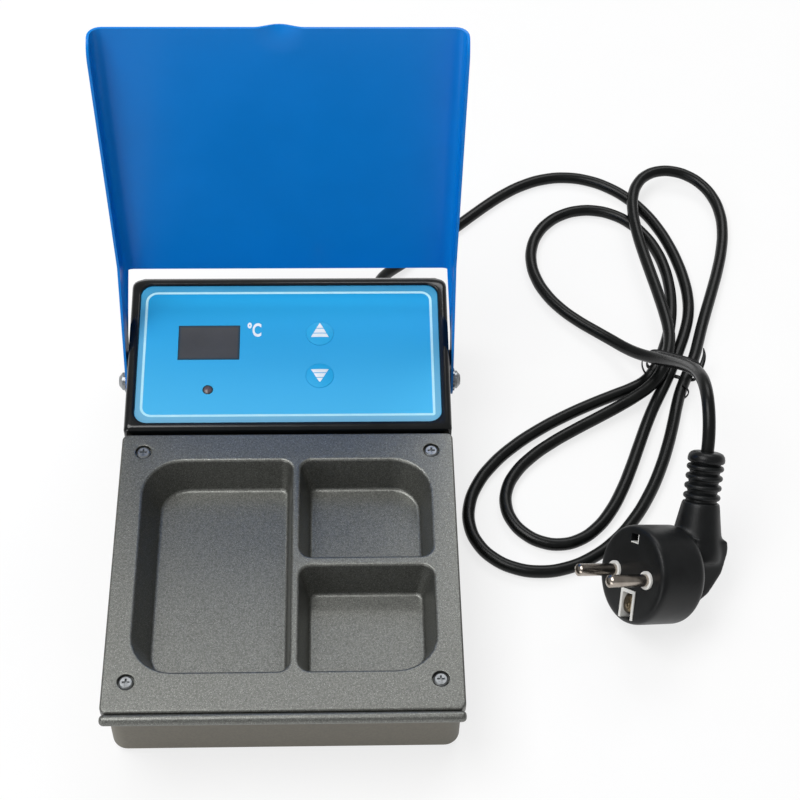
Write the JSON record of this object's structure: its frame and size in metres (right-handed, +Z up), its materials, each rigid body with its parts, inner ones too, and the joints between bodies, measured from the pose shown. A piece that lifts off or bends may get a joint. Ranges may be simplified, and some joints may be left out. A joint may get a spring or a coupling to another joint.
{
  "type": "wax dipping pot",
  "caption": "Bench-top heated wax pot with a cast well tray, a sloping control housing with keys and display, a hinged sheet-metal lid and a tied mains lead.",
  "frame": {"origin": "middle of the footprint of the pot, without cord and plug, on the table surface under the feet", "axes": "+Z up, -Y is the front with the bead of the tray, +Y the control housing and cord outlet, +X to the right seen from the front"},
  "size_m": [0.2707, 0.3059, 0.1898],
  "materials": {
    "case_plastic": "moulded, fine matt grain",
    "zinc_steel": "zinc-plated sheet",
    "screw_steel": "bright plated steel",
    "rubber": "matt black",
    "cast_tray": "dark grey grained coating",
    "mica": "layered mica",
    "fibre_pad": "white ceramic fibre",
    "plain_steel": "bare steel",
    "housing_plastic": "gloss black moulding",
    "overlay_film": "printed blue film, satin",
    "smoked_window": "smoked clear plastic",
    "module_plastic": "black moulding",
    "lamp_lens": "dark red lens",
    "board_laminate": "green solder mask",
    "relay_case": "blue moulding",
    "supply_case": "yellow moulding on a board",
    "terminal_plastic": "pale moulding",
    "lid_paint": "gloss blue paint on sheet steel",
    "nylon": "natural nylon",
    "cord_jacket": "smooth black jacket",
    "plug_plastic": "moulded black",
    "nickel": "nickel plate",
    "insert_plastic": "white moulding"
  },
  "bodies": {
    "pot": {"base_case": "case_plastic", "bottom_plate": "zinc_steel", "bottom_screws": "screw_steel", "rubber_feet": "rubber", "wax_tray": "cast_tray", "tray_screws": "screw_steel", "heater_plate": "mica", "clamp_plate": "zinc_steel", "clamp_screws": "screw_steel", "insulation_pad": "fibre_pad", "temperature_sensor": "plain_steel", "thermal_fuse": "plain_steel", "control_housing": "housing_plastic", "panel_overlay": "overlay_film", "key_switches": "module_plastic", "display_window": "smoked_window", "display_module": "module_plastic", "indicator_lamp": "lamp_lens", "circuit_board": "board_laminate", "board_screws": "screw_steel", "power_relay": "relay_case", "power_supply": "supply_case", "terminal_block": "terminal_plastic", "cord_gland": "rubber", "pivot_screws": "screw_steel", "star_washers": "plain_steel", "pivot_spacers": "nylon", "pivot_nuts": "screw_steel", "cord_lead": "cord_jacket", "cord_hank": "cord_jacket", "cord_tail": "cord_jacket", "cord_tie": "plug_plastic", "plug_body": "plug_plastic", "plug_pins": "nickel", "plug_insert": "insert_plastic", "plug_earth": "nickel"},
    "lid": {"lid": "lid_paint"},
    "up_key": {"up_key": "overlay_film"},
    "down_key": {"down_key": "overlay_film"}
  },
  "joints": [
    {"name": "lid_hinge", "type": "hinge", "parent": "pot", "child": "lid", "pos_m": [0, 0.0625, 0.025], "axis": [1, 0, 0], "range_deg": [0, 91.5]},
    {"name": "up_key_press", "type": "slide", "parent": "pot", "child": "up_key", "axis": [0, -0.1305, 0.9914], "range_m": [-0.0004, 0], "stiffness_N_per_m": 500, "springref_m": 0.0004},
    {"name": "down_key_press", "type": "slide", "parent": "pot", "child": "down_key", "axis": [0, -0.1305, 0.9914], "range_m": [-0.0004, 0], "stiffness_N_per_m": 500, "springref_m": 0.0004}
  ]
}
